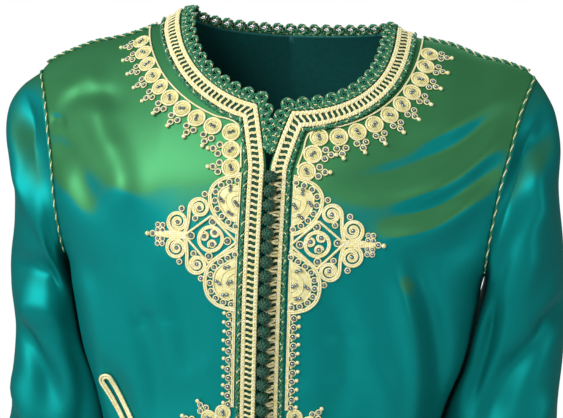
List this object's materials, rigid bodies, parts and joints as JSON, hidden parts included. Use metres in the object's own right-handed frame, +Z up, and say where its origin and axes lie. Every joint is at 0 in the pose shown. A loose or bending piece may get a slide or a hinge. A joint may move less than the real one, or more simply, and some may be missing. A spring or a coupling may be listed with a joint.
{
  "type": "long-sleeved tunic",
  "caption": "Long-sleeved satin tunic, round neck with a front slit, gold braid and beaded cord-work down a front closed by knotted buttons; worn, hollow form.",
  "frame": {"origin": "on the centre line of the garment, level with the top of the neckline at the shoulders, where the wearer carries it", "axes": "+Z up, the front faces -Y, +X towards the left sleeve of the wearer"},
  "size_m": [0.625, 0.3328, 0.9546],
  "materials": {
    "satin": "shot satin, teal with a green sheen",
    "gold_braid": "pale gold metallic thread braid",
    "green_gold_cord": "dark green cord twisted with a pale gold thread",
    "green_lace": "matte dark green cord lace with gold flecks",
    "gold_cordwork": "coiled pale gold metallic cord with small grey metal beads",
    "green_silk": "knotted dark green silk cord"
  },
  "bodies": {
    "root": {"front_right": "satin", "front_left": "satin", "back": "satin", "sleeve_right": "satin", "sleeve_left": "satin", "braid_right": "gold_braid", "braid_left": "gold_braid", "braid_back": "gold_braid", "cord_right": "green_gold_cord", "cord_left": "green_gold_cord", "cord_back": "green_gold_cord", "armhole_cord_right": "green_gold_cord", "armhole_cord_left": "green_gold_cord", "shoulder_cord_right": "green_gold_cord", "shoulder_cord_left": "green_gold_cord", "lace_right": "green_lace", "lace_left": "green_lace", "lace_back": "green_lace", "neck_applique_right": "gold_cordwork", "neck_applique_left": "gold_cordwork", "medallion_right": "gold_cordwork", "medallion_left": "gold_cordwork", "waist_motif_right": "gold_cordwork", "waist_motif_left": "gold_cordwork", "picot_right": "gold_cordwork", "picot_left": "gold_cordwork", "picot_lower_right": "gold_cordwork", "picot_lower_left": "gold_cordwork", "belt_loop": "gold_cordwork", "button_01": "green_silk", "button_02": "green_silk", "button_03": "green_silk", "button_04": "green_silk", "button_05": "green_silk", "button_06": "green_silk", "button_07": "green_silk", "button_08": "green_silk", "button_09": "green_silk", "button_10": "green_silk", "button_11": "green_silk", "button_12": "green_silk", "button_13": "green_silk", "button_14": "green_silk", "button_15": "green_silk", "button_16": "green_silk", "button_17": "green_silk", "button_18": "green_silk", "button_19": "green_silk", "button_20": "green_silk", "button_21": "green_silk", "button_22": "green_silk", "button_23": "green_silk", "button_24": "green_silk", "button_25": "green_silk", "button_26": "green_silk", "button_27": "green_silk", "button_28": "green_silk"}
  },
  "joints": []
}
